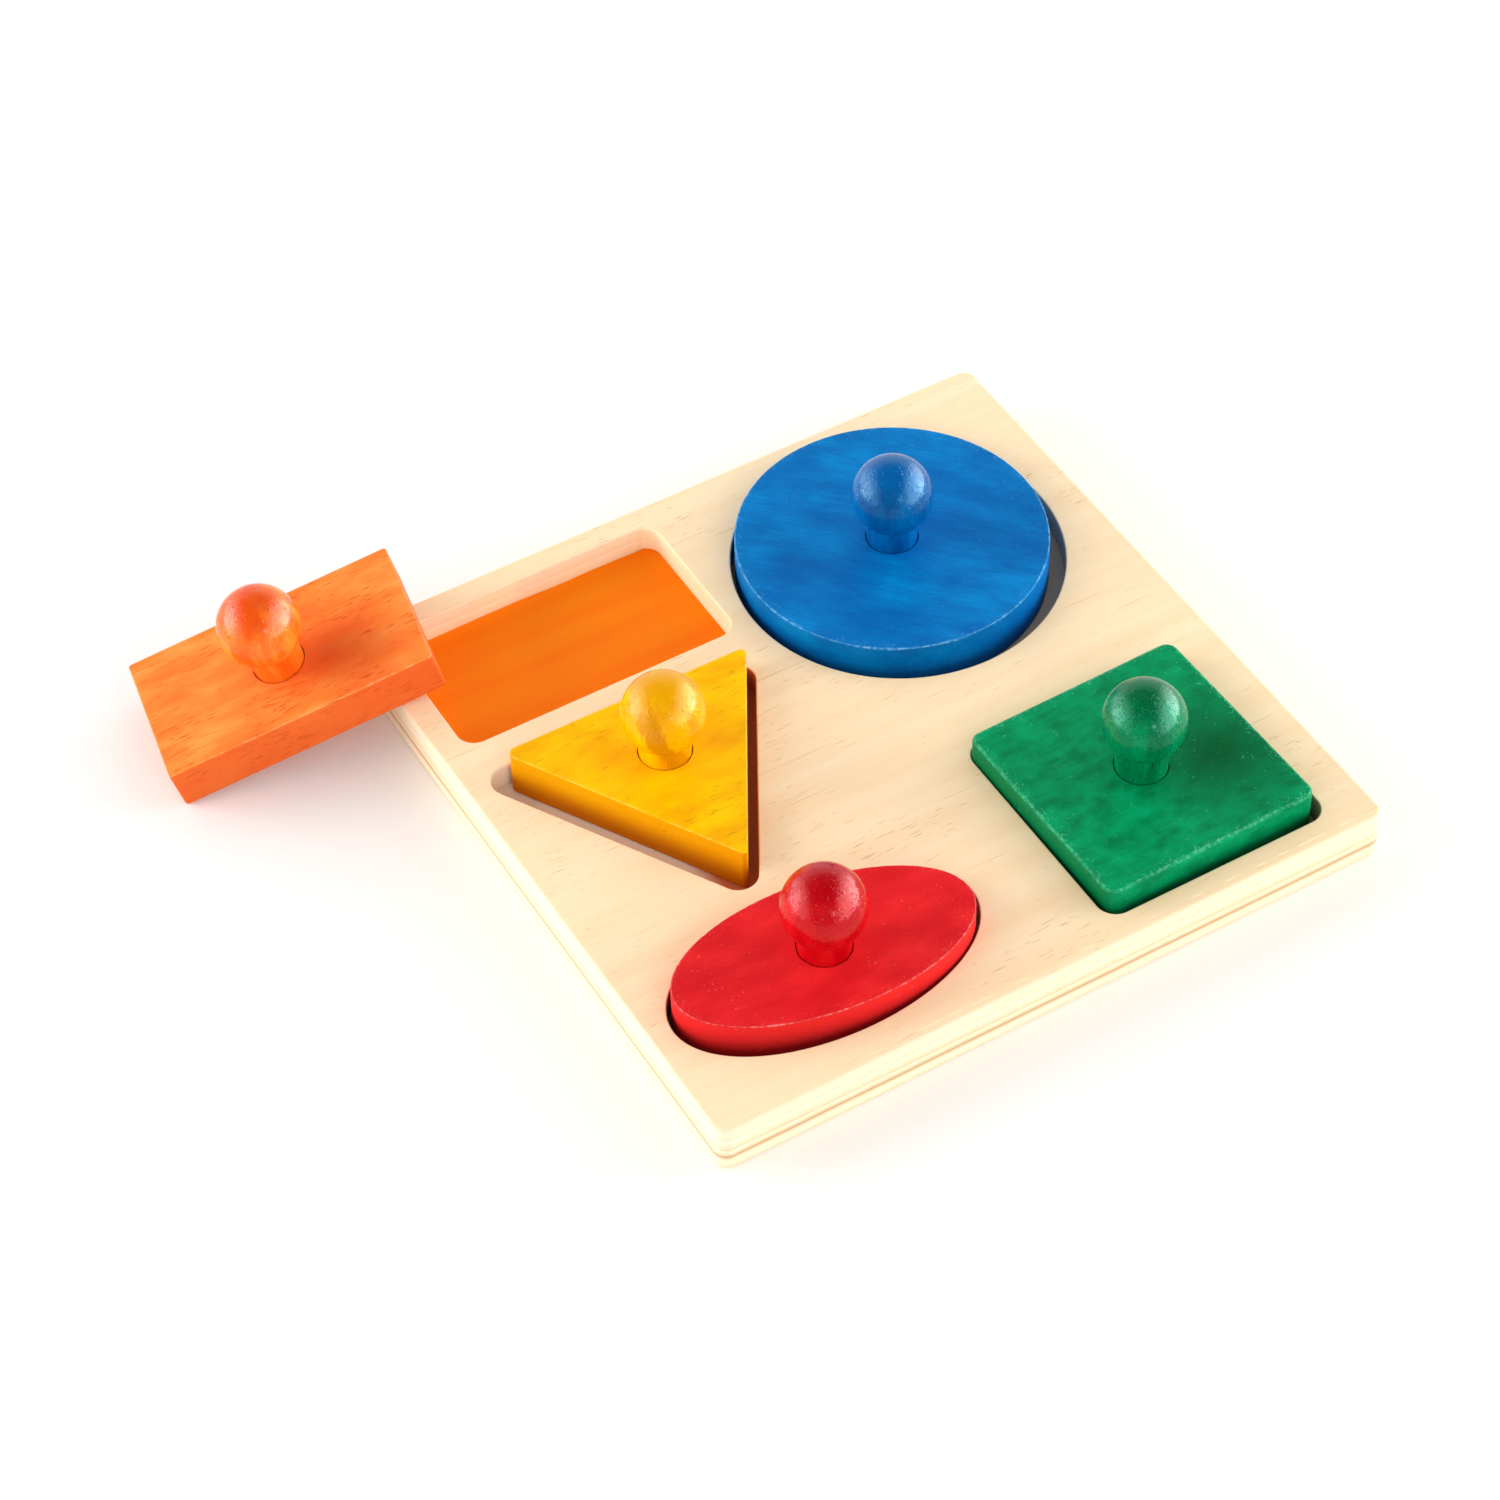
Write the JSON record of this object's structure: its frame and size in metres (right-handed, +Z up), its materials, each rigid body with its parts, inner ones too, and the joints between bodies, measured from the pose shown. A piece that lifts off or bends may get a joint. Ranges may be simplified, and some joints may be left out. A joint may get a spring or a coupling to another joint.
{
  "type": "shape puzzle",
  "caption": "Wooden tray puzzle with routed wells and thick coloured shape blocks, each lifted by a turned ball knob; the rectangle leans out of its well.",
  "frame": {"origin": "middle of the tray's underside, on the table", "axes": "+X along the tray from the rectangle and triangle wells to the circle and square wells, +Y from the oval's edge to the back edge, +Z up out of the wells"},
  "size_m": [0.3159, 0.2637, 0.0604],
  "materials": {
    "base_birch": "clear water lacquer on pale plywood, the floor of the rectangle well painted orange",
    "frame_birch": "clear water lacquer on sanded pale plywood",
    "circle_paint": "blue stain under satin lacquer, grain and worn edges showing",
    "circle_lacquer": "blue stain under gloss lacquer on turned wood",
    "square_paint": "green stain under satin lacquer, grain and worn edges showing",
    "square_lacquer": "green stain under gloss lacquer on turned wood",
    "triangle_paint": "yellow stain under satin lacquer, grain and worn edges showing",
    "triangle_lacquer": "yellow stain under gloss lacquer on turned wood",
    "oval_paint": "red stain under satin lacquer, grain and worn edges showing",
    "oval_lacquer": "red stain under gloss lacquer on turned wood",
    "rectangle_paint": "orange stain under satin lacquer, grain and worn edges showing",
    "rectangle_lacquer": "orange stain under gloss lacquer on turned wood"
  },
  "bodies": {
    "tray": {"base_board": "base_birch", "frame_board": "frame_birch"},
    "circle_piece": {"circle_block": "circle_paint", "circle_knob": "circle_lacquer"},
    "square_piece": {"square_block": "square_paint", "square_knob": "square_lacquer"},
    "triangle_piece": {"triangle_block": "triangle_paint", "triangle_knob": "triangle_lacquer"},
    "oval_piece": {"oval_block": "oval_paint", "oval_knob": "oval_lacquer"},
    "rectangle_piece": {"rectangle_block": "rectangle_paint", "rectangle_knob": "rectangle_lacquer"}
  },
  "joints": [
    {"name": "circle_lift", "type": "slide", "parent": "tray", "child": "circle_piece", "axis": [0, 0, 1], "range_m": [0, 0.06]},
    {"name": "square_lift", "type": "slide", "parent": "tray", "child": "square_piece", "axis": [0, 0, 1], "range_m": [0, 0.06]},
    {"name": "triangle_lift", "type": "slide", "parent": "tray", "child": "triangle_piece", "axis": [0, 0, 1], "range_m": [0, 0.06]},
    {"name": "oval_lift", "type": "slide", "parent": "tray", "child": "oval_piece", "axis": [0, 0, 1], "range_m": [0, 0.06]},
    {"name": "rectangle_lift", "type": "slide", "parent": "tray", "child": "rectangle_piece", "axis": [0, 0, 1], "range_m": [0, 0.06]}
  ]
}
